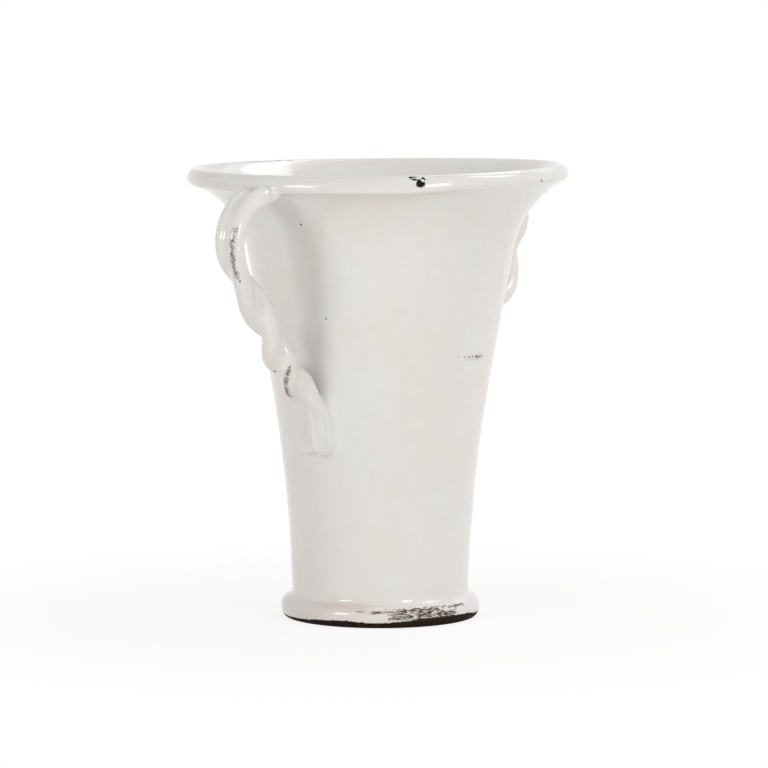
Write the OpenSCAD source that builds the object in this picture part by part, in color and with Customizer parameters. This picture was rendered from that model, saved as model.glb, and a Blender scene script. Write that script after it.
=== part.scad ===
/* [Body] */
// Height from the table to the top of the lip
height = 304; // [290:1:320]
// Diameter of the waist, just above the foot bead
waist_d = 119.4; // [110:0.2:128]
// Thickness of the wall
wall = 8; // [6:0.5:9.5]
// Thickness of the floor
floor_t = 11; // [8:0.5:14]
// Radius inside, where the floor turns up into the wall
floor_fillet_r = 12; // [6:1:18]
// Lean of the side where it leaves the foot, in degrees from upright
foot_lean = 1.6; // [0:0.1:3]
// Lean of the straight part of the side, in degrees from upright
side_lean = 10.2; // [9:0.1:11.5]
// Radius of the long hollow curve between those two leans
side_r = 1000; // [850:10:1100]

/* [Foot] */
// Diameter of the flat underside
foot_d = 128.8; // [122:0.2:132]
// Diameter of the foot bead at its widest
bead_d = 135; // [133:0.2:142]
// Height of the bead's widest point above the table
bead_z = 8; // [6:0.5:10]
// Radius of the bead's rounded top
bead_top_r = 7; // [5:0.5:8]
// Radius of the hollow between the bead and the waist
cove_r = 4; // [2:0.5:6]
// Width of the rubbed edge round the underside
foot_edge = 1; // [0.5:0.1:2]

/* [Lip] */
// Outer diameter of the lip
lip_d = 256.8; // [246:0.2:268]
// Thickness of the rolled lip
lip_t = 11; // [10:0.5:13]
// Lean of the flare where it runs into the lip, in degrees from upright
flare_lean = 65; // [58:1:70]

/* [Handles] */
// Distance between the centre lines of the two ropes at their widest
handle_span = 316.6; // [306:0.2:330]
// Drop from the top of the lip to the widest point of a rope
hook_drop = 42.8; // [38:0.2:50]
// Radius of the bend at the widest point
hook_r = 28; // [24:1:32]
// Height above the table where the rope lands on the side
landing_z = 142; // [130:1:155]
// Radius of the bend at the landing
landing_r = 60; // [40:1:75]
// Length of the pressed end, from the landing to its tip
tail_l = 28; // [24:1:36]
// Height of the pressed end's centre line over the side
seat_h = 2; // [0.5:0.1:3]
// How far the rope swings out, and then in again, on the lower half of its drop
sway = 2.6; // [0:0.1:3.6]

/* [Rope] */
// Diameter of one strand
strand_d = 12.2; // [11:0.1:13.4]
// Distance between the two strands' centres in the rope
strand_gap = 9.5; // [7.5:0.1:10.5]
// Distance between the two strands' centres where they join the lip
splay = 16; // [10:0.5:20]
// Length over which the strands come together below the lip
splay_l = 36; // [24:1:46]
// Thickness of a strand at the lip, as a share of its diameter
root_taper = 0.8; // [0.7:0.01:0.86]
// Half turns between the lip and the landing
half_turns = 3; // [1:1:5]
// How far inside the lip the ropes start, measured back from the middle of the roll
root_inset = 3; // [1:0.5:5]
// How far below the middle of the lip the ropes start
root_drop = 2.7; // [0:0.1:3.2]
// How much the twist tightens towards the lower end, 1 for an even twist
twist_rush = 1.65; // [1.3:0.05:1.8]
// Where the strands lie side by side again, as a share of the way down to the landing
twist_stop = 0.87; // [0.84:0.01:1]
// Thickness of the clay web at the bottom of the groove
web_t = 3; // [1.5:0.1:5]
// Length of the rounded tip
tip_l = 10; // [6:1:14]

/* [Finger mark] */
// Length of the mark pressed into the rope's lower end
mark_l = 26; // [18:1:30]
// Distance from the tip to the middle of the mark
mark_from_tip = 19; // [17:1:24]
// Depth of the mark
mark_depth = 2.4; // [1:0.1:3]
// Half of the angle that the mark takes round the rope, in degrees
mark_spread = 36; // [28:1:46]

/* [Hidden] */

// Steps of the curves
turn_step = 6;
ring_step = 3.2;
ring_points = 24;
tip_rings = 5;
sides = 180;

glaze = [0.88, 0.87, 0.85];

// Radii worked out from the diameters above
waist_r = waist_d / 2;
foot_r = foot_d / 2;
bead_r = bead_d / 2;
lip_r = lip_t / 2;
strand_r = strand_d / 2;

// Bead: its lower arc rises from the foot to the widest point, its top rolls into the cove
bead_low_r = (bead_z * bead_z + (bead_r - foot_r) * (bead_r - foot_r)) / (2 * (bead_r - foot_r));
bead_low_c = [bead_r - bead_low_r, bead_z];
bead_top_c = [bead_r - bead_top_r, bead_z];
cove_dx = waist_r + cove_r - bead_top_c[0];
cove_c = bead_top_c + [cove_dx, sqrt(pow(bead_top_r + cove_r, 2) - cove_dx * cove_dx)];
cove_turn = atan2(cove_c[1] - bead_top_c[1], cove_dx);

// Side: a long arc that leans out from foot_lean to side_lean, then a straight cone
side_c = [waist_r + side_r * cos(foot_lean), cove_c[1] - side_r * sin(foot_lean)];
cone_start = lean_point(side_c, side_r, side_lean);
inner_cone_start = lean_point(side_c, side_r + wall, side_lean);
inner_start_lean = asin((floor_t + floor_fillet_r - side_c[1]) / (side_r + wall));
inner_start = lean_point(side_c, side_r + wall, inner_start_lean);

// Lip: a round roll that the outside and the inside of the flare both run into
lip_c = [lip_d / 2 - lip_r, height - lip_r];
lip_out = lip_c + lip_r * [cos(flare_lean), -sin(flare_lean)];
lip_in = lip_c - lip_r * [cos(flare_lean), -sin(flare_lean)];
flare_out_z = flare_start_z(cone_start, lip_out);
flare_in_z = flare_start_z(inner_cone_start, lip_in);

// A point of an arc that hollows outwards, named by the lean of the wall there
function lean_point(c, r, lean) = c + r * [-cos(lean), sin(lean)];

// The height at which an arc from side_lean to flare_lean has to leave the cone to reach a point of the lip
function flare_start_z(cone, end) =
    let (k = (cos(side_lean) - cos(flare_lean)) / (sin(flare_lean) - sin(side_lean)))
    (end[0] - k * end[1] - cone[0] + cone[1] * tan(side_lean)) / (tan(side_lean) - k);

function on_cone(cone, z) = [cone[0] + (z - cone[1]) * tan(side_lean), z];

// Points of an arc from angle a0 to angle a1 about a centre
function arc(c, r, a0, a1, step = turn_step) =
    let (n = max(1, ceil(abs(a1 - a0) / step)))
    [for (i = [0:n]) c + r * [cos(a0 + (a1 - a0) * i / n), sin(a0 + (a1 - a0) * i / n)]];

// Points of the flare, from the cone at height z up to a point of the lip
function flare(cone, z, end) =
    let (r = (end[1] - z) / (sin(flare_lean) - sin(side_lean)))
    let (c = on_cone(cone, z) + r * [cos(side_lean), -sin(side_lean)])
    arc(c, r, 180 - side_lean, 180 - flare_lean, turn_step * 2 / 3);

function reversed(list) = [for (i = [len(list) - 1:-1:0]) list[i]];

// Half section of the thrown body, up the outside, over the lip and down the inside
function section() = concat(
    [[0, 0], [foot_r - foot_edge, 0]],
    [for (p = arc(bead_low_c, bead_low_r, -asin(bead_z / bead_low_r), 0)) if (p[1] > foot_edge) p],
    arc(bead_top_c, bead_top_r, turn_step, cove_turn),
    arc(cove_c, cove_r, 180 + cove_turn - turn_step, 180),
    arc(side_c, side_r, 180 - foot_lean - 1, 180 - side_lean, 1),
    flare(cone_start, flare_out_z, lip_out),
    [for (a = [-50:10:100]) lip_c + lip_r * [cos(a), sin(a)]],
    reversed(flare(inner_cone_start, flare_in_z, lip_in)),
    reversed(arc(side_c, side_r + wall, 180 - inner_start_lean, 180 - side_lean, 1)),
    arc(inner_start - [floor_fillet_r, 0], floor_fillet_r, -turn_step, -90),
    [[0, floor_t]]
);

// Centre line of a rope in the plane of the handle: off the lip, round the hook,
// down to the side and along it. Headings are in degrees, 0 outwards and -90 down.
landing_lean = asin((landing_z - side_c[1]) / side_r);
landing = lean_point(side_c, side_r, landing_lean) + seat_h * [cos(landing_lean), -sin(landing_lean)];
hook_c = [handle_span / 2 - hook_r, height - hook_drop];
root = lip_c - root_inset * [sin(flare_lean), cos(flare_lean)] - [0, root_drop];
to_hook = hook_c - root;
to_landing = landing - hook_c;
lip_heading = atan2(to_hook[1], to_hook[0]) + asin(hook_r / norm(to_hook));
drop_heading = atan2(to_landing[1], to_landing[0]) - asin(hook_r / norm(to_landing));
tail_heading = -90 - landing_lean;
landing_cut = landing_r * tan((tail_heading - drop_heading) / 2);

// Lengths along the centre line at which each stretch of it ends
lip_end = sqrt(pow(norm(to_hook), 2) - hook_r * hook_r);
widest = lip_end + hook_r * (lip_heading + 90) * PI / 180;
hook_end = lip_end + hook_r * (lip_heading - drop_heading) * PI / 180;
drop_end = hook_end + sqrt(pow(norm(to_landing), 2) - hook_r * hook_r) - landing_cut;
landing_end = drop_end + landing_r * (tail_heading - drop_heading) * PI / 180;
rope_end = landing_end + tail_l - landing_cut;
twist_end = widest + twist_stop * ((drop_end + landing_end) / 2 - widest);
sway_start = (widest + drop_end) / 2;
hook_exit = hook_c + hook_r * left_of(drop_heading);
landing_c = hook_exit + (drop_end - hook_end) * ahead(drop_heading) + landing_r * left_of(drop_heading);
tail_start = landing_c - landing_r * left_of(tail_heading);

function ahead(a) = [cos(a), sin(a)];
function left_of(a) = [-sin(a), cos(a)];

function heading(s) =
    s < lip_end ? lip_heading :
    s < hook_end ? lip_heading - (s - lip_end) / hook_r * 180 / PI :
    s < drop_end ? drop_heading :
    s < landing_end ? drop_heading + (s - drop_end) / landing_r * 180 / PI :
    tail_heading;

// Sideways swing of the lower drop, first to the left of the heading and then to the right
function swing(s) =
    let (u = min(1, max(0, (s - sway_start) / (landing_end - sway_start))))
    sway * 1.3 * sin(360 * u) * sin(180 * u);

function centre(s) = path(s) + swing(s) * left_of(heading(s));

function path(s) =
    s < lip_end ? root + s * ahead(lip_heading) :
    s < hook_end ? hook_c + hook_r * left_of(heading(s)) :
    s < drop_end ? hook_exit + (s - hook_end) * ahead(drop_heading) :
    s < landing_end ? landing_c - landing_r * left_of(heading(s)) :
    tail_start + (s - landing_end) * ahead(tail_heading);

// Eases from 0 to 1 as t does
function ease(t) = let (u = min(1, max(0, t))) u * u * (3 - 2 * u);
function blend(a, b, t) = a + (b - a) * ease(t);

// Angle of the first strand round the centre line, 0 along +Y and 90 outwards.
// A mean over five near places softens where the twist starts and stops
function twist(s) =
    36 * half_turns * (turned(s - 5) + turned(s - 2.5) + turned(s) + turned(s + 2.5) + turned(s + 5));
function turned(s) = pow(min(1, max(0, (s - widest) / (twist_end - widest))), twist_rush);

// Distance from the centre line to the skin of the two strands, at angle q from the first strand
function skin(s, q) =
    let (a = blend(splay, strand_gap, s / splay_l) / 2)
    let (r = strand_r * blend(root_taper, 1, s / splay_l))
    a * abs(cos(q)) + sqrt(max(r * r - pow(a * sin(q), 2), web_t * web_t / 4));

// Depth of the finger mark, on the outward side of the first strand's end
mark_angle = 180 * (half_turns - 1) + 90 - atan2(strand_r, strand_gap / 2);
function mark(s, q) =
    let (along = (s - (rope_end - mark_from_tip)) / (mark_l / 2))
    let (off = abs((q - mark_angle + 540) % 360 - 180) / mark_spread)
    mark_depth * ease(2 - 2 * abs(along)) * ease(1.6 - 1.6 * off);

// How much the skin draws in towards the centre line over the rounded tip
function tip(s) = s < rope_end - tip_l ? 1 : sqrt(1 - pow((s - rope_end + tip_l) / tip_l, 2));

// One ring of the rope's skin
function ring(s) =
    let (a = heading(s), c = centre(s), t = twist(s))
    let (out = [-sin(a), 0, cos(a)], across = [0, 1, 0])
    [for (k = [0:ring_points - 1])
        let (q = 360 * k / ring_points)
        let (d = tip(s) * (skin(s, q) - mark(s, q)))
        [c[0], 0, c[1]] + d * (cos(q + t) * across + sin(q + t) * out)];

// Stations along the rope, evenly spaced and then closer over the tip
body_rings = ceil((rope_end - tip_l) / ring_step);
stations = concat(
    [for (i = [0:body_rings]) (rope_end - tip_l) * i / body_rings],
    [for (i = [1:tip_rings]) rope_end - tip_l + tip_l * sin(90 * i / (tip_rings + 0.5))]
);

module rope_handle() {
    n = ring_points;
    last = len(stations) - 1;
    points = [for (s = stations) each ring(s)];
    skin_faces = [for (i = [0:last - 1], k = [0:n - 1])
        let (a = i * n + k, b = i * n + (k + 1) % n)
        each [[a, b + n, b], [a, a + n, b + n]]];
    end_faces = [[for (k = [0:n - 1]) k], [for (k = [n - 1:-1:0]) last * n + k]];
    polyhedron(points, concat(skin_faces, end_faces), convexity = 8);
}

module vase() {
    color(glaze) union() {
        rotate_extrude($fn = sides) polygon(section());
        rope_handle();
        rotate([0, 0, 180]) rope_handle();
    }
}

vase();
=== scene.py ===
from math import asin, atan2, ceil, cos, degrees, exp, inf, pi, radians, sin, sqrt, tan

import bmesh
import bpy
from mathutils import Matrix, Quaternion, Vector, noise
from mathutils.kdtree import KDTree


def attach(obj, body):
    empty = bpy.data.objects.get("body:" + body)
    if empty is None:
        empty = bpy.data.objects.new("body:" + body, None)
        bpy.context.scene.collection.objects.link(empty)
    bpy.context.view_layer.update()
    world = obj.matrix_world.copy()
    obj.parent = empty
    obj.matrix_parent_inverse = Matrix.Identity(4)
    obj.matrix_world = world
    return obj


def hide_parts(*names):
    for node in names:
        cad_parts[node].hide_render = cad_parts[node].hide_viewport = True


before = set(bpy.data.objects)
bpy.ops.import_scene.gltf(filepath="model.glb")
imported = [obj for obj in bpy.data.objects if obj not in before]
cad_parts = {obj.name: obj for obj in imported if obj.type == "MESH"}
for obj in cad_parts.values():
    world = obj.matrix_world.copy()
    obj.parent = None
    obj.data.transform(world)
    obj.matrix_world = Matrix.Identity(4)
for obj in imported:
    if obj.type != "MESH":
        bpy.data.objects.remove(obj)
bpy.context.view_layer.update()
mm = 0.001          # the pieces are modelled in millimetres and scaled once at the end
perMetre = 1 / mm


def clamp(t):
    return min(1, max(0, t))


def ease(t):
    u = clamp(t)
    return u * u * (3 - 2 * u)


def easeFrom(value, place):
    # 0 up to a place and 1 beyond it; the place is its start and the width of the change
    return ease((value - place[0]) / place[1])


def easeUntil(value, place):
    # 1 up to a place and 0 beyond it; the place is its end and the width of the change
    return ease((place[0] - value) / place[1])


def mix(a, b, t):
    return a + (b - a) * t


def polar(angle):
    return Vector((cos(radians(angle)), sin(radians(angle))))


def vertsOf(geom):
    return [g for g in geom if isinstance(g, bmesh.types.BMVert)]


def edgesOf(geom):
    return [g for g in geom if isinstance(g, bmesh.types.BMEdge)]


def soften(bm, verts, passes=1):
    for _ in range(passes):
        bmesh.ops.smooth_vert(bm, verts=verts, factor=0.5,
                              use_axis_x=True, use_axis_y=True, use_axis_z=True)


# Camera: stands where the photographer stood, above the lip and looking slightly down
cameraSet = {
    "azimuth": 38,            # degrees from the plane of the handles
    "distance": 3247.2,
    "sideStep": 2.5,          # to the camera's right
    "height": 482.3,
    "pitch": 5.715,           # degrees below level
    "lens": 226.2,
    "sensor": 36,
    "clip": 50,               # metres
}


def makeCamera(values):
    turn = radians(values["azimuth"])
    towards = Vector((-cos(turn), -sin(turn), 0))
    right = Vector((sin(turn), -cos(turn), 0))
    pitch = radians(values["pitch"])
    look = -towards * cos(pitch) - Vector((0, 0, sin(pitch)))
    data = bpy.data.cameras.new("photoCamera")
    data.lens = values["lens"]
    data.sensor_width = values["sensor"]
    data.clip_end = values["clip"]
    camera = bpy.data.objects.new("photoCamera", data)
    spot = towards * values["distance"] + right * values["sideStep"] + Vector((0, 0, values["height"]))
    camera.location = spot * mm
    camera.rotation_euler = look.to_track_quat("-Z", "Y").to_euler()
    bpy.context.scene.collection.objects.link(camera)
    bpy.context.scene.camera = camera
    return towards, right


towardsCamera, cameraRight = makeCamera(cameraSet)
print("camera placed")


# Thrown body. Leans are in degrees from upright
bodyForm = {
    "height": 304,
    "waist": 119.4,
    "wall": 8,
    "floor": 11,
    "floorCurve": 12,         # radius inside, where the floor turns up
    "footLean": 1.6,
    "sideLean": 10.2,
    "sideCurve": 1000,        # radius of the long hollow curve of the side
    "foot": 128.8,
    "footEdge": 1.2,          # rubbed edge round the underside
    "bead": 135,
    "beadHeight": 8,
    "beadTop": 7,             # radius of the bead's rounded top
    "cove": 4,                # radius of the hollow above the bead
    "lip": 256.8,
    "lipThick": 11,
    "flareLean": 65,
    "turns": 192,             # steps round the axis
    "outsideStep": 3.2,       # spacing of the rings down the outside
    "underRoll": 11,          # length of the flare under the lip that gets finer rings
    "insideStep": 5,
    "steps": {"underside": 14, "footEdge": 3, "beadLow": 6, "beadTop": 8, "cove": 6, "underRoll": 11,
              "lip": 18, "corner": 6, "floor": 10},
    "weld": 0.01,             # points closer than this are merged
}


def bodyCentres(form):
    # centres and ends of the arcs that make the half section, as (radius, height)
    c = {}
    waist, foot, bead = form["waist"] / 2, form["foot"] / 2, form["bead"] / 2
    beadHeight, beadTop, cove = form["beadHeight"], form["beadTop"], form["cove"]
    sideLean, footLean, flareLean = form["sideLean"], form["footLean"], form["flareLean"]
    c["beadLowRadius"] = (beadHeight ** 2 + (bead - foot) ** 2) / (2 * (bead - foot))
    c["beadLow"] = Vector((bead - c["beadLowRadius"], beadHeight))
    c["beadTop"] = Vector((bead - beadTop, beadHeight))
    across = waist + cove - c["beadTop"].x
    c["cove"] = c["beadTop"] + Vector((across, sqrt((beadTop + cove) ** 2 - across ** 2)))
    c["coveTurn"] = degrees(atan2(c["cove"].y - c["beadTop"].y, across))
    c["side"] = Vector((waist + form["sideCurve"] * cos(radians(footLean)),
                        c["cove"].y - form["sideCurve"] * sin(radians(footLean))))
    c["coneOut"] = c["side"] + form["sideCurve"] * polar(180 - sideLean)
    innerCurve = form["sideCurve"] + form["wall"]
    c["coneIn"] = c["side"] + innerCurve * polar(180 - sideLean)
    c["innerLean"] = degrees(asin((form["floor"] + form["floorCurve"] - c["side"].y) / innerCurve))
    c["innerStart"] = c["side"] + innerCurve * polar(180 - c["innerLean"])
    lipRadius = form["lipThick"] / 2
    c["lip"] = Vector((form["lip"] / 2 - lipRadius, form["height"] - lipRadius))
    c["lipOut"] = c["lip"] + lipRadius * polar(-flareLean)
    c["lipIn"] = c["lip"] - lipRadius * polar(-flareLean)
    swing = sin(radians(flareLean)) - sin(radians(sideLean))
    spread = (cos(radians(sideLean)) - cos(radians(flareLean))) / swing
    slope = tan(radians(sideLean))
    for cone, end, name in ((c["coneOut"], c["lipOut"], "flareOut"), (c["coneIn"], c["lipIn"], "flareIn")):
        z = (end.x - spread * end.y - cone.x + cone.y * slope) / (slope - spread)
        start = Vector((cone.x + (z - cone.y) * slope, z))
        radius = (end.y - z) / swing
        c[name + "Start"] = start
        c[name] = start + radius * polar(-sideLean)
        c[name + "Radius"] = radius
    return c


def penArc(bm, tip, centre, turn, steps):
    # swings the tip about a centre, anticlockwise with +X right and +Z up
    swung = bmesh.ops.spin(bm, geom=[tip], cent=(centre.x, 0, centre.y), axis=(0, -1, 0),
                           angle=radians(turn), steps=max(1, steps))
    return vertsOf(swung["geom_last"])[0]


def nearestVert(bm, spot):
    return min(bm.verts, key=lambda v: (v.co - spot).length)


def penLine(bm, tip, target, steps):
    goal = Vector((target.x, 0, target.y))
    drawn = bmesh.ops.extrude_vert_indiv(bm, verts=[tip])
    bmesh.ops.translate(bm, verts=drawn["verts"], vec=goal - tip.co)
    bmesh.ops.subdivide_edges(bm, edges=drawn["edges"], cuts=max(0, steps - 1))
    return nearestVert(bm, goal)


def drawHalfSection(bm, form):
    c = bodyCentres(form)
    out, inside, steps = form["outsideStep"], form["insideStep"], form["steps"]
    leanTurn = form["sideLean"] - form["footLean"]
    flareTurn = form["flareLean"] - form["sideLean"]
    sideArc = form["sideCurve"] * radians(leanTurn)
    innerTurn = form["sideLean"] - c["innerLean"]
    tip = bm.verts.new((0, 0, 0))
    tip = penLine(bm, tip, Vector((form["foot"] / 2, 0)), steps["underside"])
    low = degrees(asin(form["beadHeight"] / c["beadLowRadius"]))
    tip = penArc(bm, tip, c["beadLow"], low, steps["beadLow"])
    tip = penArc(bm, tip, c["beadTop"], c["coveTurn"], steps["beadTop"])
    tip = penArc(bm, tip, c["cove"], -c["coveTurn"], steps["cove"])
    tip = penArc(bm, tip, c["side"], -leanTurn, ceil(sideArc / out))
    tip = penLine(bm, tip, c["flareOutStart"], ceil((c["flareOutStart"] - c["coneOut"]).length / out))
    rollTurn = degrees(form["underRoll"] / c["flareOutRadius"])
    flareLength = c["flareOutRadius"] * radians(flareTurn - rollTurn)
    tip = penArc(bm, tip, c["flareOut"], rollTurn - flareTurn, ceil(flareLength / out))
    tip = penArc(bm, tip, c["flareOut"], -rollTurn, steps["underRoll"])
    tip = penArc(bm, tip, c["lip"], 180, steps["lip"])
    tip = penArc(bm, tip, c["flareIn"], flareTurn, ceil(c["flareInRadius"] * radians(flareTurn) / out))
    tip = penLine(bm, tip, c["coneIn"], ceil((c["flareInStart"] - c["coneIn"]).length / inside))
    innerArc = (form["sideCurve"] + form["wall"]) * radians(innerTurn)
    tip = penArc(bm, tip, c["side"], innerTurn, ceil(innerArc / inside))
    floorCurve = c["innerStart"] - Vector((form["floorCurve"], 0))
    tip = penArc(bm, tip, floorCurve, -90, steps["corner"])
    penLine(bm, tip, Vector((0, form["floor"])), steps["floor"])
    corner = nearestVert(bm, Vector((form["foot"] / 2, 0, 0)))
    bmesh.ops.bevel(bm, geom=[corner], offset=form["footEdge"], segments=steps["footEdge"], profile=0.5,
                    affect="VERTICES", material=-1)


def throwBody(form):
    bm = bmesh.new()
    drawHalfSection(bm, form)
    bmesh.ops.spin(bm, geom=bm.verts[:] + bm.edges[:], cent=(0, 0, 0), axis=(0, 0, 1),
                   angle=2 * pi, steps=form["turns"], use_merge=True)
    bmesh.ops.remove_doubles(bm, verts=bm.verts[:], dist=form["weld"])
    bmesh.ops.recalc_face_normals(bm, faces=bm.faces[:])
    return bm


# Rope handles: two rolled strands laid side by side under the lip and twisted on the way down
ropeForm = {
    "span": 316.6,            # between the two ropes' centre lines at their widest
    "hookDrop": 42.8,
    "hookCurve": 28,
    "rootInset": 3,           # start of the rope behind the middle of the lip, and below it
    "rootDrop": 2.7,
    "landing": 142,
    "landingCurve": 60,
    "tail": 28,
    "seat": 2,                # height of the pressed end's centre line over the side
    "sway": 2.6,              # swing out and then in again on the lower half of the drop
    "swayLevel": 1.3,         # brings the swing's peak up to that
    "bow": 0,                 # how far the whole drop stands out from the straight line
    "bowPlace": 0.62,         # under 1, it stands out most on the upper half
    "strand": 12.2,
    "gap": 9.5,
    "splay": 16,
    "splayLength": 36,
    "rootTaper": {1: 1.08, -1: 0.66},  # the first strand is smeared wide on the lip, the other pinched
    "web": 4.6,               # radius of the clay pressed in between the strands at the root
    "webLength": 27,
    "webDrop": 1.4,
    "webStep": 3,
    "webRounds": 2,           # subdivisions of its balls
    "halfTurns": 3,
    "twistRush": 1.65,        # over 1, the twist gets tighter on the way down
    "twistEnd": 0.87,         # share of the drop where the strands lie side by side again
    "twistBlend": (-5, -2.5, 0, 2.5, 5),  # the turn is a mean over these places up and down the rope
    "tipLength": 10,
    "tipRings": (15, 30, 45, 57, 67, 75, 82, 88),  # degrees round the strand's blunt end
    "tipBlunt": 0.02,         # least squared share of the radius left at the very end
    "ringStep": 1.6,
    "sides": 28,
    "voxel": 1,
    "softening": 4,           # passes
}
# the right rope was bent a little tighter at the top and hangs fuller below
rightRopeForm = dict(ropeForm, span=305.6, hookDrop=40.2, landing=147, sway=0, bow=10, twistRush=1.4)


class RopePath:
    # centre line and twist of one rope, in the half plane of the handle: (radius, height)
    def __init__(self, form, body):
        self.form = form
        c = bodyCentres(body)
        side, curve = c["side"], body["sideCurve"]
        lean = degrees(asin((form["landing"] - side.y) / curve))
        landing = side + curve * polar(180 - lean) + form["seat"] * polar(-lean)
        self.hook = Vector((form["span"] / 2 - form["hookCurve"], body["height"] - form["hookDrop"]))
        inLip = form["rootInset"] * polar(90 - body["flareLean"])
        self.root = c["lip"] - inLip - Vector((0, form["rootDrop"]))
        toHook, toLanding = self.hook - self.root, landing - self.hook
        bend = form["hookCurve"]
        self.lipHeading = degrees(atan2(toHook.y, toHook.x) + asin(bend / toHook.length))
        self.dropHeading = degrees(atan2(toLanding.y, toLanding.x) - asin(bend / toLanding.length))
        self.tailHeading = -90 - lean
        cut = form["landingCurve"] * tan(radians(self.tailHeading - self.dropHeading) / 2)
        self.lipEnd = sqrt(toHook.length ** 2 - bend ** 2)
        self.widest = self.lipEnd + bend * radians(self.lipHeading + 90)
        self.hookEnd = self.lipEnd + bend * radians(self.lipHeading - self.dropHeading)
        self.dropEnd = self.hookEnd + sqrt(toLanding.length ** 2 - bend ** 2) - cut
        landingTurn = self.tailHeading - self.dropHeading
        self.landingEnd = self.dropEnd + form["landingCurve"] * radians(landingTurn)
        self.end = self.landingEnd + form["tail"] - cut
        self.hookExit = self.hook + bend * polar(self.dropHeading + 90)
        self.landingCentre = (self.hookExit + (self.dropEnd - self.hookEnd) * polar(self.dropHeading)
                              + form["landingCurve"] * polar(self.dropHeading + 90))
        self.tailStart = self.landingCentre - form["landingCurve"] * polar(self.tailHeading + 90)

    def heading(self, s):
        if s < self.lipEnd:
            return self.lipHeading
        if s < self.hookEnd:
            return self.lipHeading - degrees((s - self.lipEnd) / self.form["hookCurve"])
        if s < self.dropEnd:
            return self.dropHeading
        if s < self.landingEnd:
            return self.dropHeading + degrees((s - self.dropEnd) / self.form["landingCurve"])
        return self.tailHeading

    def centre(self, s):
        form = self.form
        start = (self.widest + self.dropEnd) / 2
        u = clamp((s - start) / (self.landingEnd - start))
        swing = form["sway"] * form["swayLevel"] * sin(2 * pi * u) * sin(pi * u)
        drop = clamp((s - self.hookEnd) / (self.dropEnd - self.hookEnd))
        swing += form["bow"] * sin(pi * drop ** form["bowPlace"]) ** 2
        heading = self.heading(s)
        if s < self.lipEnd:
            at = self.root + s * polar(self.lipHeading)
        elif s < self.hookEnd:
            at = self.hook + self.form["hookCurve"] * polar(heading + 90)
        elif s < self.dropEnd:
            at = self.hookExit + (s - self.hookEnd) * polar(self.dropHeading)
        elif s < self.landingEnd:
            at = self.landingCentre - self.form["landingCurve"] * polar(heading + 90)
        else:
            at = self.tailStart + (s - self.landingEnd) * polar(self.tailHeading)
        return at + swing * polar(heading + 90)

    def twist(self, s):
        # the strands' turn about each other, with its ends softened
        form = self.form
        last = self.widest + form["twistEnd"] * ((self.dropEnd + self.landingEnd) / 2 - self.widest)
        turned = 0
        for near in form["twistBlend"]:
            share = clamp((s + near - self.widest) / (last - self.widest))
            turned += share ** form["twistRush"] / len(form["twistBlend"])
        return 180 * form["halfTurns"] * turned

    def strandAt(self, s, side):
        # centre of one strand; side is 1 for the first strand and -1 for the other
        form = self.form
        apart = mix(form["splay"], form["gap"], ease(s / form["splayLength"])) / 2
        at, out, turn = self.centre(s), polar(self.heading(s) + 90), radians(self.twist(s))
        across, proud = side * apart * cos(turn), side * apart * sin(turn)
        return Vector((at.x + proud * out.x, across, at.y + proud * out.y))

    def strandRadius(self, s, side):
        form = self.form
        radius = form["strand"] / 2 * mix(form["rootTaper"][side], 1, ease(s / form["splayLength"]))
        past = (s - self.end + form["tipLength"]) / form["tipLength"]
        return radius * sqrt(max(form["tipBlunt"], 1 - past ** 2)) if past > 0 else radius


def rollStrand(bm, path, side):
    # one strand: a ring carried along the path, with its ends closed
    form = path.form
    count = ceil(path.end / form["ringStep"])
    tipRings = [path.end - form["tipLength"] * (1 - sin(radians(a))) for a in form["tipRings"]]
    evenRings = [path.end * i / count for i in range(count)]
    near = 0.5                # mm up and down the strand, for the way it runs
    frames = []
    for s in [even for even in evenRings if even < tipRings[0]] + tipRings:
        ahead = path.strandAt(s + near, side) - path.strandAt(s - near, side)
        turn = ahead.to_track_quat("Z", "Y").to_matrix().to_4x4()
        size = Matrix.Scale(path.strandRadius(s, side), 4)
        frames.append(Matrix.Translation(path.strandAt(s, side)) @ turn @ size)
    ring = bmesh.ops.create_circle(bm, segments=form["sides"], radius=1, matrix=frames[0])["verts"]
    bmesh.ops.contextual_create(bm, geom=ring)
    edges = [e for e in bm.edges if e.verts[0] in ring and e.verts[1] in ring]
    for before, after in zip(frames, frames[1:]):
        grown = bmesh.ops.extrude_edge_only(bm, edges=edges)["geom"]
        ring, edges = vertsOf(grown), edgesOf(grown)
        edges = [e for e in edges if e.verts[0] in ring and e.verts[1] in ring]
        bmesh.ops.transform(bm, matrix=after @ before.inverted(), verts=ring)
    bmesh.ops.contextual_create(bm, geom=ring)


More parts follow.
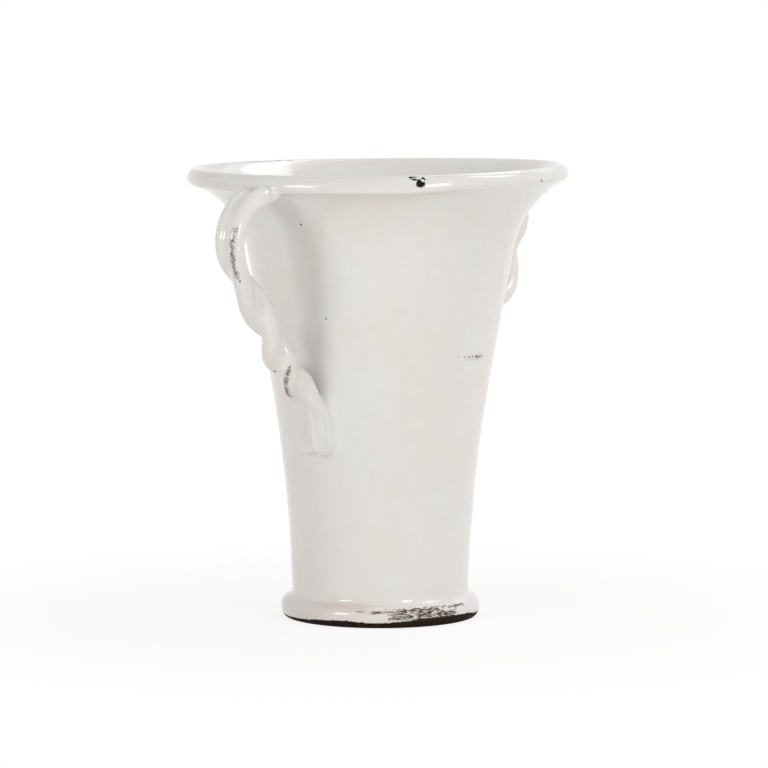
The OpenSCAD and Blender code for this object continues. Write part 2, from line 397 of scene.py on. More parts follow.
# What the potter's hands left: the mouth leans and tilts a little, and the wall isn't quite round.
# Places across the vase are shares of the lip's reach, towards the camera's right
handFeel = {
    "lean": -2.0,             # shift of the lip to the camera's right
    "leanFrom": (0.93, 0.07),  # share of the height
    "tilt": 1.4,              # rise of the lip on the camera's right
    "tip": 0.7,               # rise of the lip on the camera's side
    "saddle": 0.6,            # rise of the lip at both sides, and drop at front and back
    "lift": 0.8,
    "riseFrom": (0.7, 0.3),   # share of the height
    "roll": 0.8,              # how far the roll of the lip hangs over outside, and the groove under it
    "rollPlace": (0.2, 2.2),  # down the flare from the lip: middle and half width
    "groove": 0.25,
    "groovePlace": (2.9, 1.8),
    "grooveFrom": (-0.85, 0.3),
    "rollUntil": (0.42, 0.3),
    "rollBand": (14, 4),      # it takes the clay this near the lip, and this far through the wall
    "sag": 2.4,               # how far the outer face of the lip sank
    "sagBulge": 1.4,          # power that keeps it to the outer face
    "sagBand": (9, 3),        # from the middle of the lip
    "sagUntil": (0.52, 0.38),
    "sagEase": 0.4,           # share less at the far left
    "waver": 0.35,            # slow unevenness of the wall
    "waverSize": 55,
    "rings": 0.1,             # depth of the throwing rings
    "ringSpacing": 13,
    "ringDrift": 0.6,         # how much a ring changes on its way round
    "waverFrom": (12, 20),    # the two begin over this height
    "waverOut": 30,           # and this distance from the axis
}


def lipRoll(along, side, values):
    # the roll that hangs over outside, with the groove under it, at a place down the flare
    (rollAt, rollWide), (grooveAt, grooveWide) = values["rollPlace"], values["groovePlace"]
    push = values["roll"] * exp(-((along - rollAt) / rollWide) ** 2)
    groove = values["groove"] * easeFrom(side, values["grooveFrom"])
    push -= groove * exp(-((along - grooveAt) / grooveWide) ** 2)
    return push * easeUntil(side, values["rollUntil"])


def handShape(bm, values):
    lipReach = bodyForm["lip"] / 2
    lipCentre, lipRadius = bodyCentres(bodyForm)["lip"], bodyForm["lipThick"] / 2
    rollEnd, rollOut = bodyCentres(bodyForm)["lipOut"], polar(-bodyForm["flareLean"])
    downFlare = -polar(90 - bodyForm["flareLean"])
    for v in bm.verts:
        up = v.co.z / bodyForm["height"]
        radius = max(1, v.co.xy.length)
        outward = Vector((v.co.x, v.co.y, 0)) / radius
        side, front = v.co.dot(cameraRight) / lipReach, v.co.dot(towardsCamera) / lipReach
        fromRoll = Vector((radius, v.co.z)) - rollEnd
        if fromRoll.length < values["rollBand"][0] and abs(fromRoll.dot(rollOut)) < values["rollBand"][1]:
            push = lipRoll(fromRoll.dot(downFlare), side, values)
            v.co += push * (outward * rollOut.x + Vector((0, 0, rollOut.y)))
        fromLip = Vector((radius, v.co.z)) - lipCentre
        if fromLip.x > 0 and fromLip.length < values["sagBand"][0]:
            sag = values["sag"] * (fromLip.x / lipRadius) ** values["sagBulge"]
            sag *= easeUntil(fromLip.length, values["sagBand"]) * easeUntil(side, values["sagUntil"])
            v.co.z -= sag * (1 - values["sagEase"] * max(0, -side))
        slow = noise.noise(v.co / values["waverSize"])
        drift = values["ringDrift"]
        ring = noise.noise(Vector((outward.x * drift, outward.y * drift, v.co.z / values["ringSpacing"])))
        away = easeFrom(v.co.z, values["waverFrom"]) * ease(radius / values["waverOut"])
        v.co += outward * away * (values["waver"] * slow + values["rings"] * ring)
        v.co += cameraRight * values["lean"] * easeFrom(up, values["leanFrom"])
        rise = values["lift"] + values["tilt"] * side + values["tip"] * front
        rise += values["saddle"] * (side ** 2 - front ** 2)
        v.co.z += rise * easeFrom(up, values["riseFrom"])


def meshObject(name, bm):
    mesh = bpy.data.meshes.new(name)
    bm.to_mesh(mesh)
    bm.free()
    piece = bpy.data.objects.new(name, mesh)
    bpy.context.scene.collection.objects.link(piece)
    return piece


def finished(piece):
    # the piece's mesh with its modifiers worked in, as a bmesh; the piece itself is removed
    bpy.context.view_layer.update()
    ready = piece.evaluated_get(bpy.context.evaluated_depsgraph_get())
    bm = bmesh.new()
    bm.from_mesh(ready.to_mesh())
    bpy.data.objects.remove(piece)
    return bm


# Where a thumb pressed the ropes' ends to the side
thumbMarks = [
    # from the rope's end up to the middle of the mark, its offset aside, its half width and half length,
    # how flat the clay is pressed, how much flatter towards -Y, and the clay squeezed aside
    {"above": 19, "aside": -6.6, "reach": (8, 14.5), "flat": 0.42, "slope": 0.25, "spread": 0.6},
    {"above": 17, "aside": 8, "reach": (5.5, 19), "flat": 0.26, "slope": -0.3, "spread": 0.3},
]
thumbFeel = {
    "square": 4,              # power of the marks' outline: 2 would be an oval
    "rim": (0.7, 0.9),        # powers of the press towards a mark's upper and lower edge
    "thick": 14,              # clay that stands out from the side by less than this is pressed
}
# The pressed ends were smeared wide on the side
smearFeel = {
    "above": 20,              # from the rope's end up to the middle of the smear
    "aside": {1: 4.6, -1: 4},  # how far each edge was pushed out
    "edge": 11,               # half width of the rope there
    "fade": (20, 8),          # the side is dragged along out to here, fading over this width
    "upper": (-24, 16),       # starts this far up from the middle, and grows over this length
    "lower": (23, 6),
    "deep": 18,               # it takes the clay this far out from and into the side
}


class PressedEnd:
    # the middle of a mark on a rope's end, and the ways down, out from the side and aside
    def __init__(self, path, turn, above, aside=0):
        heading, middle = polar(path.tailHeading), path.centre(path.end - above)
        self.down = turn @ Vector((heading.x, 0, heading.y))
        self.out = turn @ Vector((-heading.y, 0, heading.x))
        self.aside = turn @ Vector((0, 1, 0))
        self.spot = turn @ Vector((middle.x, aside, middle.y))

    def find(self, co):
        gap = co - self.spot
        return gap.dot(self.out), gap.dot(self.aside), gap.dot(self.down)


def pressThumb(bm, path, mark, feel, turn):
    place = PressedEnd(path, turn, mark["above"], mark["aside"])
    place.spot -= place.out * path.form["seat"]
    for v in bm.verts:
        height, across, along = place.find(v.co)
        across, along = across / mark["reach"][0], along / mark["reach"][1]
        room = 1 - across ** feel["square"] - along ** feel["square"]
        if room > 0 and 0 < height < feel["thick"]:
            rim = feel["rim"][0] if along < 0 else feel["rim"][1]
            flat = mark["flat"] * (1 - mark["slope"] * across) * room ** rim
            v.co -= place.out * height * flat
            v.co += place.aside * mark["spread"] * across * room


def smearEnd(bm, path, values, turn):
    place = PressedEnd(path, turn, values["above"])
    for v in bm.verts:
        height, across, along = place.find(v.co)
        if abs(height) < values["deep"] and abs(across) < values["fade"][0]:
            hand = 1 if across > 0 else -1
            push = values["aside"][hand] * min(1, abs(across) / values["edge"])
            push *= easeUntil(abs(across), values["fade"]) * easeFrom(along, values["upper"])
            push *= easeUntil(along, values["lower"])
            v.co += place.aside * hand * push


def rollRope(form, body, turn):
    path = RopePath(form, body)
    bm = bmesh.new()
    rollStrand(bm, path, 1)
    rollStrand(bm, path, -1)
    for s in range(0, form["webLength"], form["webStep"]):
        at = path.centre(s) - form["webDrop"] * polar(path.heading(s) + 90)
        bmesh.ops.create_icosphere(bm, subdivisions=form["webRounds"], radius=form["web"],
                                   matrix=Matrix.Translation((at.x, 0, at.y)))
    bmesh.ops.recalc_face_normals(bm, faces=bm.faces[:])
    rope = meshObject("rope", bm)
    fuse = rope.modifiers.new("fuse", "REMESH")
    fuse.mode = "VOXEL"
    fuse.voxel_size = form["voxel"]
    bm = finished(rope)
    soften(bm, bm.verts[:], form["softening"])
    bmesh.ops.rotate(bm, verts=bm.verts[:], cent=(0, 0, 0), matrix=turn)
    return bm


# The joints: wet clay smeared and glaze pooled where the ropes meet the lip and the side
jointFeel = {
    "reach": 6,               # the side is worked finer this far round a rope
    "cuts": 2,
    "pool": 5,                # glaze pools in the hollows this near a rope, above this height
    "poolAbove": 90,
    "passes": 26,
    "rootAbove": 284,         # the ropes' tops are worked into the lip above this
    "rootPasses": 24,
    "rubbed": [(186, 4), (180, 7), (174, 9), (168, 8)],  # the pressed ends are rubbed smooth: below, passes
    "flushed": [(-128.6, -12.6, 295), (126.2, 16, 297)],  # the first strand's top is smeared flush here
    "flushing": [(7, 5), (6, 6), (4.5, 8)],  # reach and passes
}


def treeOf(verts):
    tree = KDTree(len(verts))
    for v in verts:
        tree.insert(v.co, 0)
    tree.balance()
    return tree


def workFiner(bm, ropes, values):
    # smaller faces on the side and lip where the ropes will lie
    tree = treeOf([v for rope in ropes for v in rope.verts])
    near = {f for f in bm.faces if tree.find(f.calc_center_median())[2] < values["reach"]}
    edges = [e for e in bm.edges if near.intersection(e.link_faces)]
    bmesh.ops.subdivide_edges(bm, edges=edges, cuts=values["cuts"], use_grid_fill=True)


def joinClay(bodyMesh, ropeMeshes):
    # one closed skin; the ropes' faces keep the material index 1, so that they can be told apart
    for ropeMesh in ropeMeshes:
        for face in ropeMesh.faces:
            face.material_index = 1
    body = meshObject("thrownBody", bodyMesh)
    ropes = [meshObject("rope", ropeMesh) for ropeMesh in ropeMeshes]
    clays = [bpy.data.materials.new(name) for name in ("bodyClay", "ropeClay")]
    for piece in [body] + ropes:
        for clay in clays:
            piece.data.materials.append(clay)
    for rope in ropes:
        join = body.modifiers.new("join", "BOOLEAN")
        join.operation = "UNION"
        join.solver = "EXACT"
        join.object = rope
    joined = finished(body)
    for rope in ropes:
        bpy.data.objects.remove(rope)
    for clay in clays:
        bpy.data.materials.remove(clay)
    return joined


def poolGlaze(bm, values):
    # glaze fills the grooves and the corners at the joints: only hollow places are smoothed
    ropeVerts = {v for f in bm.faces if f.material_index == 1 for v in f.verts}
    tree = treeOf(ropeVerts)
    near = [v for v in bm.verts
            if v in ropeVerts or v.co.z > values["poolAbove"] and tree.find(v.co)[2] < values["pool"]]
    around = [(v, [e.other_vert(v) for e in v.link_edges]) for v in near]
    atRoot = [(v, others) for v, others in around if v.co.z > values["rootAbove"]]
    for done in range(values["passes"] + values["rootPasses"]):
        bm.normal_update()
        hollow = []
        for v, others in around if done < values["passes"] else atRoot:
            middle = sum((other.co for other in others), Vector()) / len(others)
            if (middle - v.co).dot(v.normal) > 0:
                hollow.append(v)
        soften(bm, hollow)
    for below, passes in values["rubbed"]:
        soften(bm, [v for v in near if v.co.z < below], passes)
    for f in bm.faces:
        f.material_index = 0


def smearTops(bm, values):
    for place in values["flushed"]:
        for reach, passes in values["flushing"]:
            soften(bm, [v for v in bm.verts if (v.co - Vector(place)).length < reach], passes)


bodyMesh = throwBody(bodyForm)
print("body thrown:", len(bodyMesh.faces), "faces")
handles = [(rightRopeForm, Matrix.Rotation(0, 3, "Z")), (ropeForm, Matrix.Rotation(pi, 3, "Z"))]
ropeMeshes = [rollRope(form, bodyForm, turn) for form, turn in handles]
print("ropes rolled:", [len(ropeMesh.faces) for ropeMesh in ropeMeshes], "faces")
workFiner(bodyMesh, ropeMeshes, jointFeel)
vaseMesh = joinClay(bodyMesh, ropeMeshes)
poolGlaze(vaseMesh, jointFeel)
for form, turn in handles:
    ropePath = RopePath(form, bodyForm)
    smearEnd(vaseMesh, ropePath, smearFeel, turn)
    for mark in thumbMarks:
        pressThumb(vaseMesh, ropePath, mark, thumbFeel, turn)
handShape(vaseMesh, handFeel)
smearTops(vaseMesh, jointFeel)
print("vase joined:", len(vaseMesh.faces), "faces")


# Wear, in millimetres on the finished vase. The clay shows where the glaze was wiped, worn or knocked off
glazeEdge = {
    # degrees about the axis, and the height of the glaze's lower edge there
    "turns": [0, 40, 90, 120, 146, 164, 184, 197, 211, 222, 233, 244, 257, 273, 297, 330, 360],
    "heights": [4.2, 3.2, 4.6, 3.6, 2.6, 3.0, 4.4, 5.0, 4.0, 4.0, 5.0, 6.6, 6.9, 6.1, 4.3, 3.4, 4.2],
}
wornPaths = [
    # points, half widths at the start and at the end, how much of the glaze is gone
    ([(-61, -27, 11.2), (-54.8, -38.4, 11), (-48.2, -45.9, 11.2), (-42, -51.6, 11.2)], (0.5, 2), 0.5),
    ([(-44, -49.8, 11.4), (-36, -55.4, 11.7), (-31.5, -58.3, 12), (-20.9, -62.7, 12.1)], (2.2, 2.2), 0.55),
    ([(-22, -62.4, 12.2), (-7.8, -65.3, 12.5), (6.2, -65.7, 12.3)], (1.5, 1), 0.46),
    ([(-46.6, -48.8, 9.4), (-38.6, -55.3, 9.6), (-29.3, -60.8, 9.8), (-20, -64.2, 10)], (3.4, 3.4), 0.45),
    ([(-48, -47, 7.2), (-38.6, -55.3, 7.4), (-29.3, -60.8, 8), (-18.2, -64.9, 8.6),
      (-4.7, -67.2, 8.6)], (1.6, 2), 0.55),
    ([(3.9, 123.3, 303.4), (19.9, 121.3, 303.4), (36.5, 117, 303.6),
      (47.5, 111.5, 303.4)], (0.7, 0.9), 0.5),
    ([(-161.9, -7.4, 270.6), (-163.9, -6.5, 262.3), (-163.9, -6.5, 257.8),
      (-163.5, -6.4, 253.8), (-162.6, -6.2, 249.9), (-161.2, -6.3, 245.9),
      (-158.3, -6, 239.9)], (1.9, 1.8), 0.45),
    ([(-108.2, -8.5, 177.3), (-107.2, -5.9, 170.8), (-103.2, -1.8, 163.6),
      (-99.2, 1, 159.8), (-92.5, 5, 156), (-88.5, 7.5, 152.5)], (1.4, 2.2), 0.5),
    ([(-120.2, -16, 291.6), (-117.7, -19.9, 290.7), (-114.3, -23, 289)], (1.5, 2), 0.24),
    ([(-7.2, -77.2, 181), (5.6, -77.2, 180), (11.4, -76.5, 179.5)], (1, 1.9), 0.26),
]
# the glaze ran thin round the dotted streak, and the clay tints it; over the left of the bead and the lip,
# on the side turned from the key light, the same tint is partly thin glaze and partly painted shade
thinGlazeAndShadePaths = [
    # left of the bead: partly thin glaze, partly painted shade on the side turned from the key light
    ([(-53.9, 40.6, 10.5), (-64, 21, 11.5), (-66.5, 1, 12), (-62.5, -19, 13),
      (-58, -30, 13)], (6, 4), 0.45),
    # left of the lip: partly thin glaze, partly painted shade on the side turned from the key light
    ([(-112, 65.9, 298), (-118.2, 53.8, 297), (-122.5, 42.4, 296.2),
      (-125.7, 28.6, 294.8)], (6, 6), 0.2),
    ([(-4, -77.3, 180.8), (5.6, -77.2, 180.2), (11.4, -76.5, 179.7)], (1.2, 1.7), 0.6),
]
wearFeel = {
    "shake": 0.8,             # how far the outline of a path wanders, over this size
    "shakeSize": 4,
    "middle": 1.35,           # level at the middle of a path, and its fall to each width aside
    "fall": 0.7,
    "reach": 8,               # nothing shows this far from a path
    "clear": 20,              # written where the glaze's edge is far
    "footBand": 3,            # the edge is felt this far in from the foot, and all over below this height
    "footTop": 1,
}


def nearPath(spot, points):
    # distance to a broken line, and how far along it as a share
    best, share = inf, 0
    for i, (a, b) in enumerate(zip(points, points[1:])):
        a, b = Vector(a), Vector(b)
        t = clamp((spot - a).dot(b - a) / (b - a).length_squared)
        far = (spot - a.lerp(b, t)).length
        if far < best:
            best, share = far, (i + t) / (len(points) - 1)
    return best, share


def pathReach(points, reach):
    low = [min(p[i] for p in points) - reach for i in range(3)]
    high = [max(p[i] for p in points) + reach for i in range(3)]
    return low, high


def pathStrength(spot, marks, reaches, feel):
    # strength of the strongest mark at a place, with a shaken outline
    total = 0
    for (points, widths, strength), (low, high) in zip(marks, reaches):
        if all(low[i] < spot[i] < high[i] for i in range(3)):
            far, share = nearPath(spot, points)
            far = max(0, far + feel["shake"] * noise.noise(spot / feel["shakeSize"]))
            width = mix(widths[0], widths[1], share)
            total = max(total, strength * (feel["middle"] - feel["fall"] * far / width))
    return total


def edgeHeight(turn):
    turns, heights = glazeEdge["turns"], glazeEdge["heights"]
    k = max(i for i in range(len(turns) - 1) if turns[i] <= turn)
    return mix(heights[k], heights[k + 1], ease((turn - turns[k]) / (turns[k + 1] - turns[k])))


def markWear(bm, feel):
    # values per vertex: millimetres above the glaze's lower edge, how worn the glaze is, and how thin it
    # ran, with painted shade on the left of the bead and the lip
    edge = bm.verts.layers.float.new("aboveGlazeEdge")
    layers = []
    for name, marks in (("worn", wornPaths), ("thinGlazeAndShade", thinGlazeAndShadePaths)):
        reaches = [pathReach(points, feel["reach"]) for points, _, _ in marks]
        layers.append((bm.verts.layers.float.new(name), marks, reaches))
    footInside = bodyForm["foot"] / 2 - feel["footBand"]
    for v in bm.verts:
        v[edge] = feel["clear"]
        if v.co.xy.length > footInside or v.co.z < feel["footTop"]:
            turn = degrees(atan2(v.co.y, v.co.x)) % 360
            v[edge] = min(feel["clear"], v.co.z - edgeHeight(turn))
        for layer, marks, reaches in layers:
            v[layer] = pathStrength(v.co, marks, reaches, feel)


markWear(vaseMesh, wearFeel)
bmesh.ops.scale(vaseMesh, vec=(mm, mm, mm), verts=vaseMesh.verts[:])
for face in vaseMesh.faces:
    face.smooth = True
vase = meshObject("firedVase", vaseMesh)
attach(vase, "root")
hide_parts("vase")
print("wear marked")


def paint(hexCode):
    # sRGB hex to linear colour
    parts = [int(hexCode[i:i + 2], 16) / 255 for i in (0, 2, 4)]
    return tuple(p / 12.92 if p <= 0.04045 else ((p + 0.055) / 1.055) ** 2.4 for p in parts) + (1,)


def addNode(tree, kind, inputs, **settings):
    # a node with its settings, for its outputs; an input is a value, or the socket it is linked from
    node = tree.nodes.new(kind)
    for name, value in settings.items():
        setattr(node, name, value)
    for name, value in inputs.items():
        if isinstance(value, bpy.types.NodeSocket):
            tree.links.new(value, node.inputs[name])
        else:
            node.inputs[name].default_value = value
    return node.outputs


# Tin glaze over dark earthenware: an opaque white glass, dipped on and fired. It gives the eye an even,
# milky gloss that ripples a little, with pinholes, and chocolate brown clay where it is wiped, worn or
# chipped away. Sizes and depths are in millimetres. Levels are where a change begins and where it is whole
glazeLook = {
    "warm": "E9E3DF",
    "cool": "E7E6E2",
    "coolLevels": (0.38, 0.62),
    "cloudLevels": (0.3, 0.7),
    "haze": 0.975,            # brightness of the darkest cloud
    "roughness": (0.06, 0.1),
    "gloss": 0.5,
    "ior": 1.52,
    "thinGlazeAndShade": "D3C7BC",         # glaze gone thin round a worn place; also painted shade on the left of the bead and the lip
    "haloLevels": (0.8, 1.1),
    "haloNear": (0.02, 0.2),
    "halo": 0.6,
    "clay": "0D0A09",
    "clayDry": "6E5041",      # dusty, rubbed clay
    "dustLevels": (0.45, 0.8),
    "dust": 0.5,
    "dryLevels": (0, 0.8),    # dry by how worn the place is
    "clayRoughness": 0.82,
    "clayGloss": 0.1,         # the open clay hardly shines
    "edgeWander": 3.2,        # how ragged the glaze's lower edge is
    "edgeLevels": (1.4, 1.75),
    "rubDrawn": (0.22, 0.22, 1.45),  # rubbing is drawn out round the foot, below this height
    "rubDrawnBelow": 30,
    "rubLevels": (0.32, 0.68),
    "wearLevels": (1, 1.16),
    "chipShake": 1.1,         # how ragged a chip is, as a share of its size
    "chipLevels": (1.3, 1.5),
    "chipDepth": 0.35,
    "pinhole": 0.45,          # radius
    "pinholeEdge": (0.6, 1.3),  # shares of the radius
    "pinholeSpacing": 13,
    "pinholeLevels": (0.55, 1),  # only some of the cells have one
    "pinholeDepth": 0.15,
    "ringDrawn": (0.06, 0.06, 1),
    "relief": {"ripple": 0.045, "peel": 0.006, "rings": 0.03, "grit": 0.02},
}
glazeNoises = {
    # size, detail and roughness
    "mottle": (42, 2, 0.5),   # slow changes of colour
    "cloud": (7, 3, 0.5),
    "rag": (2.6, 5, 0.7),     # the glaze's lower edge
    "shaken": (1.8, 3, 0.5),  # the chips' outlines
    "grit": (1.1, 5, 0.7),    # of the clay
    "ripple": (11, 1, 0.5),
    "peel": (2.2, 1, 0.5),    # orange peel
    "rub": (0.75, 4, 0.7),    # grain of the rubbed places
    "rings": (9, 1, 0.5),     # throwing rings felt through the glaze
}
# chips, knocks and specks: place, half sizes and turn about Z in millimetres and degrees
spotMarks = [
    ((-82.4, -97.6, 300), (3.1, 3.1, 2.8), 0),
    ((-82.2, -96.3, 301.8), (1.4, 1.6, 1.4), 0),
    ((-84.1, -93.9, 302.8), (2.4, 0.9, 0.9), -41),
    ((-84.1, -92, 304.2), (3.2, 0.9, 0.8), -42),
    ((-85.2, -91.6, 303.6), (0.8, 0.8, 0.7), 0),
    ((-79.4, -97.1, 303.5), (1.3, 1.3, 1.1), 0),
    ((-79, -98.3, 302.7), (0.8, 0.8, 0.8), 0),
    ((11.2, -126.3, 299), (0.9, 0.9, 0.9), 0),
    ((-98.2, -10.7, 271), (0.85, 0.85, 0.85), 0),
    ((-80.4, -17.4, 207.9), (0.66, 0.66, 0.66), 0),
    ((-109.5, 2.8, 174.1), (0.9, 0.9, 0.9), 0),
    ((-156.4, -6.9, 237.2), (0.8, 0.8, 0.8), 0),
    ((-13, -76.3, 181.1), (0.8, 3, 0.3), 0),
    ((-7.4, -77, 180.8), (1, 3, 0.34), 0),
    ((-3.4, -77.3, 180.3), (1.3, 3, 0.42), 0),
    ((0.6, -77.4, 180.5), (1, 3, 0.4), 0),
    ((5.4, -77.3, 180.1), (1.4, 3, 0.62), 0),
    ((8.6, -76.9, 179.7), (0.9, 3, 0.4), 0),
    ((14.4, -76.1, 179.3), (0.8, 3, 0.3), 0),
]


def between(levels, low=0, high=1):
    return {"From Min": levels[0], "From Max": levels[1], "To Min": low, "To Max": high}


def milkColour(tree, noises, look):
    blend = addNode(tree, "ShaderNodeMapRange", {"Value": noises["mottle"], **between(look["coolLevels"])})
    milk = addNode(tree, "ShaderNodeMix", {"Factor": blend["Result"], "A": paint(look["warm"]),
                                           "B": paint(look["cool"])}, data_type="RGBA")
    haze = addNode(tree, "ShaderNodeMapRange",
                   {"Value": noises["cloud"], **between(look["cloudLevels"], look["haze"])})
    return addNode(tree, "ShaderNodeVectorMath", {"Vector": milk["Result"], "Scale": haze["Result"]},
                   operation="SCALE")["Vector"]


def wipedFoot(tree, noises, look):
    # clay under the ragged lower edge of the glaze
    edge = addNode(tree, "ShaderNodeAttribute", {}, attribute_name="aboveGlazeEdge")
    ragged = addNode(tree, "ShaderNodeMath", {0: noises["rag"], 1: look["edgeWander"], 2: edge["Fac"]},
                     operation="MULTIPLY_ADD")
    return addNode(tree, "ShaderNodeMapRange",
                   {"Value": ragged["Value"], **between(look["edgeLevels"], 1, 0)})["Result"]


def drawnPlaces(tree, place, look):
    # the places that the rubbing and the throwing rings are read at
    height = addNode(tree, "ShaderNodeSeparateXYZ", {"Vector": place})["Z"]
    drawn = addNode(tree, "ShaderNodeMapping", {"Vector": place, "Scale": look["rubDrawn"]})
    above = addNode(tree, "ShaderNodeMath", {0: height, 1: look["rubDrawnBelow"] * mm},
                    operation="GREATER_THAN")
    rub = addNode(tree, "ShaderNodeMix", {"Factor": above["Value"], "A": drawn["Vector"], "B": place},
                  data_type="VECTOR")
    rings = addNode(tree, "ShaderNodeMapping", {"Vector": place, "Scale": look["ringDrawn"]})
    return {"rub": rub["Result"], "rings": rings["Vector"]}


def makeNoises(tree, place, noises, look):
    drawn = drawnPlaces(tree, place, look)
    made = {}
    for name, (size, detail, roughness) in noises.items():
        grain = {"Scale": perMetre / size, "Detail": detail, "Roughness": roughness}
        made[name] = addNode(tree, "ShaderNodeTexNoise", {"Vector": drawn.get(name, place), **grain})["Fac"]
    return made


def rubbing(tree, noises, worn, look):
    # dry rubbing along the worn paths
    spread = addNode(tree, "ShaderNodeMapRange", {"Value": noises["rub"], **between(look["rubLevels"])})
    return addNode(tree, "ShaderNodeMath", {0: spread["Result"], 1: worn}, operation="ADD")["Value"]


def chips(tree, place, noises, marks, look):
    nearest = None
    for at, size, turn in marks:
        spot = addNode(tree, "ShaderNodeMapping",
                       {"Vector": place, "Location": [c * mm for c in at],
                        "Rotation": (0, 0, radians(turn)), "Scale": [c * mm for c in size]},
                       vector_type="TEXTURE")
        away = addNode(tree, "ShaderNodeVectorMath", {0: spot["Vector"]}, operation="LENGTH")["Value"]
        if nearest:
            away = addNode(tree, "ShaderNodeMath", {0: nearest, 1: away}, operation="MINIMUM")["Value"]
        nearest = away
    outline = addNode(tree, "ShaderNodeMath", {0: noises["shaken"], 1: look["chipShake"], 2: nearest},
                      operation="MULTIPLY_ADD")
    return addNode(tree, "ShaderNodeMapRange",
                   {"Value": outline["Value"], **between(look["chipLevels"], 1, 0)})["Result"]


def pinholes(tree, place, look):
    spacing = look["pinholeSpacing"]
    cells = addNode(tree, "ShaderNodeTexVoronoi", {"Vector": place, "Scale": perMetre / spacing})
    edge = [look["pinhole"] / spacing * share for share in look["pinholeEdge"]]
    hole = addNode(tree, "ShaderNodeMapRange", {"Value": cells["Distance"], **between(edge, 1, 0)})
    chance = addNode(tree, "ShaderNodeSeparateColor", {"Color": cells["Color"]})["Red"]
    depth = addNode(tree, "ShaderNodeMapRange", {"Value": chance, **between(look["pinholeLevels"])})
    return addNode(tree, "ShaderNodeMath", {0: hole["Result"], 1: depth["Result"]},
                   operation="MULTIPLY")["Value"]


def clayColour(tree, noises, worn, look):
    dusty = addNode(tree, "ShaderNodeMapRange",
                    {"Value": noises["grit"], **between(look["dustLevels"], 0, look["dust"])})
    rubbedDry = addNode(tree, "ShaderNodeMapRange", {"Value": worn, **between(look["dryLevels"])})
    dry = addNode(tree, "ShaderNodeMath", {0: dusty["Result"], 1: rubbedDry["Result"]}, operation="MAXIMUM")
    return addNode(tree, "ShaderNodeMix", {"Factor": dry["Value"], "A": paint(look["clay"]),
                                           "B": paint(look["clayDry"])}, data_type="RGBA")["Result"]


def thinGlazeAndShadeMask(tree, rubbed, worn, look):
    # how thin the glaze is: in a halo round the rubbed places, and where it ran thin, with painted shade on
    # the left of the bead and the lip
    halo = addNode(tree, "ShaderNodeMapRange",
                   {"Value": rubbed, **between(look["haloLevels"], 0, look["halo"])})
    near = addNode(tree, "ShaderNodeMapRange", {"Value": worn, **between(look["haloNear"])})
    around = addNode(tree, "ShaderNodeMath", {0: halo["Result"], 1: near["Result"]}, operation="MULTIPLY")
    thinGlazeAndShade = addNode(tree, "ShaderNodeAttribute", {}, attribute_name="thinGlazeAndShade")
    return addNode(tree, "ShaderNodeMath", {0: around["Value"], 1: thinGlazeAndShade["Fac"]},
                   operation="MAXIMUM")["Value"]


def makeGlaze(look, noiseSizes, marks):
    # the clay and the thin places, some of them painted shade, lie over the milk's colour, each where its
    # own mask is
    material = bpy.data.materials.new("tinGlazeOverDarkClay")
    material.use_nodes = True
    tree = material.node_tree
    place = addNode(tree, "ShaderNodeTexCoord", {})["Object"]
    noises = makeNoises(tree, place, noiseSizes, look)
    worn = addNode(tree, "ShaderNodeAttribute", {}, attribute_name="worn")["Fac"]
    rubbed = rubbing(tree, noises, worn, look)
    wear = addNode(tree, "ShaderNodeMapRange", {"Value": rubbed, **between(look["wearLevels"])})
    bare = wipedFoot(tree, noises, look)
    for gone in (wear["Result"], chips(tree, place, noises, marks, look)):
        bare = addNode(tree, "ShaderNodeMath", {0: bare, 1: gone}, operation="MAXIMUM")["Value"]
    pinhole = pinholes(tree, place, look)
    colour = milkColour(tree, noises, look)
    # the thin tint here is also painted shade on the left of the bead and the lip
    for mask, over in ((thinGlazeAndShadeMask(tree, rubbed, worn, look), paint(look["thinGlazeAndShade"])),
                       (pinhole, paint(look["clayDry"])),
                       (bare, clayColour(tree, noises, worn, look))):
        colour = addNode(tree, "ShaderNodeMix", {"Factor": mask, "A": colour, "B": over},
                         data_type="RGBA")["Result"]
    sheen = addNode(tree, "ShaderNodeMapRange",
                    {"Value": noises["cloud"], **between(look["cloudLevels"], *look["roughness"])})
    rough = addNode(tree, "ShaderNodeMix",
                    {"Factor": bare, "A": sheen["Result"], "B": look["clayRoughness"]}, data_type="FLOAT")
    gloss = addNode(tree, "ShaderNodeMix", {"Factor": bare, "A": look["gloss"], "B": look["clayGloss"]},
                    data_type="FLOAT")
    height = 0.0
    depths = [(noises[name], depth) for name, depth in look["relief"].items()]
    for source, depth in depths + [(bare, -look["chipDepth"]), (pinhole, -look["pinholeDepth"])]:
        height = addNode(tree, "ShaderNodeMath", {0: source, 1: depth, 2: height},
                         operation="MULTIPLY_ADD")["Value"]
    relief = addNode(tree, "ShaderNodeBump", {"Height": height, "Strength": 1, "Distance": mm})
    shader = tree.nodes["Principled BSDF"]
    for name, socket in (("Base Color", colour), ("Roughness", rough["Result"]),
                         ("Specular IOR Level", gloss["Result"]), ("Normal", relief["Normal"])):
        tree.links.new(socket, shader.inputs[name])
    shader.inputs["IOR"].default_value = look["ior"]
    return material


vase.data.materials.append(makeGlaze(glazeLook, glazeNoises, spotMarks))
print("glaze made")


# Studio: a white sweep under soft boxes, bright enough to lose its edges, with a faint shadow at the foot
studio = {
    "fill": 0.4,
    "floorSize": 9,           # metres
    "floorColour": "F4F2EF",
    "floorRoughness": 0.9,
    "floorGlow": 0.84,        # share of the floor that shows as plain white, near the vase
    "floorFade": (0.1, 0.42),  # metres from the vase, where that grows to all of it
}
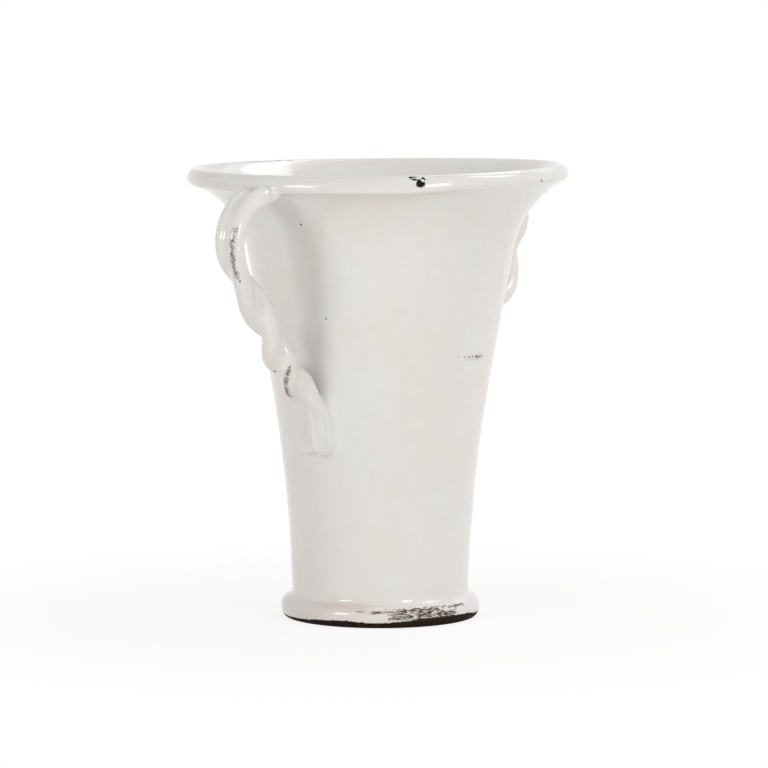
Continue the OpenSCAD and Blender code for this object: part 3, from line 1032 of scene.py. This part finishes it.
# soft boxes: degrees to the camera's right and up, distance, width and height in metres, watts
softBoxes = [
    {"name": "keyBox", "turn": 35, "up": 15, "away": 2.2, "size": (0.55, 0.8), "power": 13},
    {"name": "leftBox", "turn": -46, "up": 14, "away": 2.2, "size": (0.62, 0.55), "power": 10.8},
    {"name": "sideBox", "turn": 95, "up": 50, "away": 2.2, "size": (0.6, 1.0), "power": 10},
    {"name": "backBox", "turn": 158, "up": 46, "away": 2.0, "size": (0.8, 0.44), "power": 2.5, "roll": -32},
    {"name": "backFill", "turn": 150, "up": 40, "away": 2.6, "size": (1.8, 1.5), "power": 4.4},
    {"name": "leftFill", "turn": -105, "up": 25, "away": 2.4, "size": (1.6, 1.4), "power": 2.4},
]


def seenRay(tree):
    # 1 for what the camera and reflections see, 0 for the light that falls on the vase
    ray = addNode(tree, "ShaderNodeLightPath", {})
    return addNode(tree, "ShaderNodeMath", {0: ray["Is Camera Ray"], 1: ray["Is Glossy Ray"]},
                   operation="MAXIMUM")["Value"]


def makeWorld(values):
    world = bpy.data.worlds.new("studio")
    world.use_nodes = True
    tree = world.node_tree
    level = addNode(tree, "ShaderNodeMix", {"Factor": seenRay(tree), "A": values["fill"], "B": 1.0},
                    data_type="FLOAT")
    tree.links.new(level["Result"], tree.nodes["Background"].inputs["Strength"])
    tree.nodes["Background"].inputs["Color"].default_value = (1, 1, 1, 1)
    bpy.context.scene.world = world


def layFloor(values):
    bm = bmesh.new()
    bmesh.ops.create_grid(bm, x_segments=1, y_segments=1, size=values["floorSize"] / 2)
    floor = meshObject("floor", bm)
    material = bpy.data.materials.new("whiteSweep")
    material.use_nodes = True
    tree = material.node_tree
    shader = tree.nodes["Principled BSDF"]
    shader.inputs["Base Color"].default_value = paint(values["floorColour"])
    shader.inputs["Roughness"].default_value = values["floorRoughness"]
    place = addNode(tree, "ShaderNodeTexCoord", {})["Object"]
    away = addNode(tree, "ShaderNodeVectorMath", {0: place}, operation="LENGTH")
    faded = addNode(tree, "ShaderNodeMapRange",
                    {"Value": away["Value"], **between(values["floorFade"], values["floorGlow"])},
                    interpolation_type="SMOOTHSTEP")
    share = addNode(tree, "ShaderNodeMath", {0: seenRay(tree), 1: faded["Result"]}, operation="MULTIPLY")
    glow = addNode(tree, "ShaderNodeEmission", {"Color": (1, 1, 1, 1), "Strength": 1.0})
    both = addNode(tree, "ShaderNodeMixShader", {0: share["Value"], 1: shader.outputs["BSDF"],
                                                 2: glow["Emission"]})
    tree.links.new(both["Shader"], tree.nodes["Material Output"].inputs["Surface"])
    floor.data.materials.append(material)


def hangBoxes(boxes):
    middle = Vector((0, 0, bodyForm["height"] / 2)) * mm
    for box in boxes:
        turn, up = radians(box["turn"]), radians(box["up"])
        aim = (towardsCamera * cos(turn) + cameraRight * sin(turn)) * cos(up) + Vector((0, 0, sin(up)))
        light = bpy.data.lights.new(box["name"], "AREA")
        light.shape = "RECTANGLE"
        light.size, light.size_y = box["size"]
        light.energy = box["power"]
        lamp = bpy.data.objects.new(box["name"], light)
        lamp.location = middle + aim * box["away"]
        roll = Quaternion((0, 0, 1), radians(box.get("roll", 0)))
        lamp.rotation_euler = ((-aim).to_track_quat("-Z", "Y") @ roll).to_euler()
        bpy.context.scene.collection.objects.link(lamp)


makeWorld(studio)
layFloor(studio)
hangBoxes(softBoxes)
bpy.context.scene.view_settings.view_transform = "Standard"
print("studio lit")
